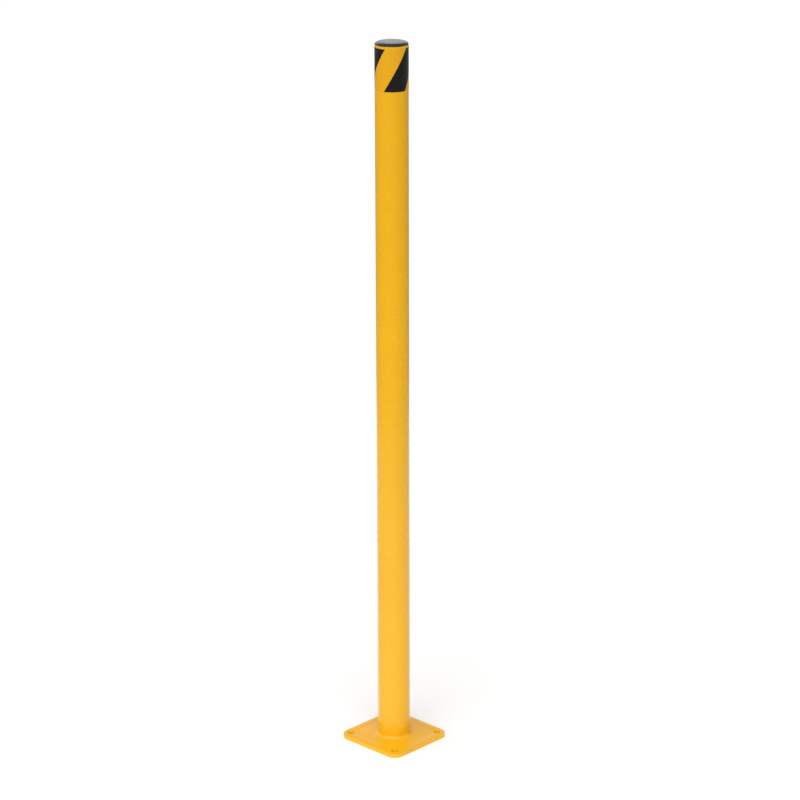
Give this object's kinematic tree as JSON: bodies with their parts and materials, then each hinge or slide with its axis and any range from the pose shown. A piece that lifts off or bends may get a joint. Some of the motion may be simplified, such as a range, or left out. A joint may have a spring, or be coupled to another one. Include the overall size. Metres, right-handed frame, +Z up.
{
  "type": "safety bollard",
  "caption": "Tall yellow steel pipe bollard on a square anchor plate, with a push-in black cap and a hazard-striped film band.",
  "frame": {"origin": "centre of the base plate's underside, where the bollard stands on the ground", "axes": "+Z up along the post; +X and +Y along the sides of the square plate"},
  "size_m": [0.216, 0.216, 1.9801],
  "materials": {
    "powder_coat": "glossy yellow powder coat with fine orange peel",
    "yellow_film": "smooth yellow self-adhesive film",
    "black_film": "smooth black self-adhesive film",
    "cap_plastic": "satin moulded black plastic"
  },
  "bodies": {
    "post": {"base_plate": "powder_coat", "post_tube": "powder_coat", "base_weld": "powder_coat", "hazard_film": "yellow_film", "film_stripes": "black_film"},
    "cap": {"top_cap": "cap_plastic"}
  },
  "joints": [
    {"name": "cap_lift", "type": "slide", "parent": "post", "child": "cap", "axis": [0, 0, 1], "range_m": [0, 0.1]}
  ]
}
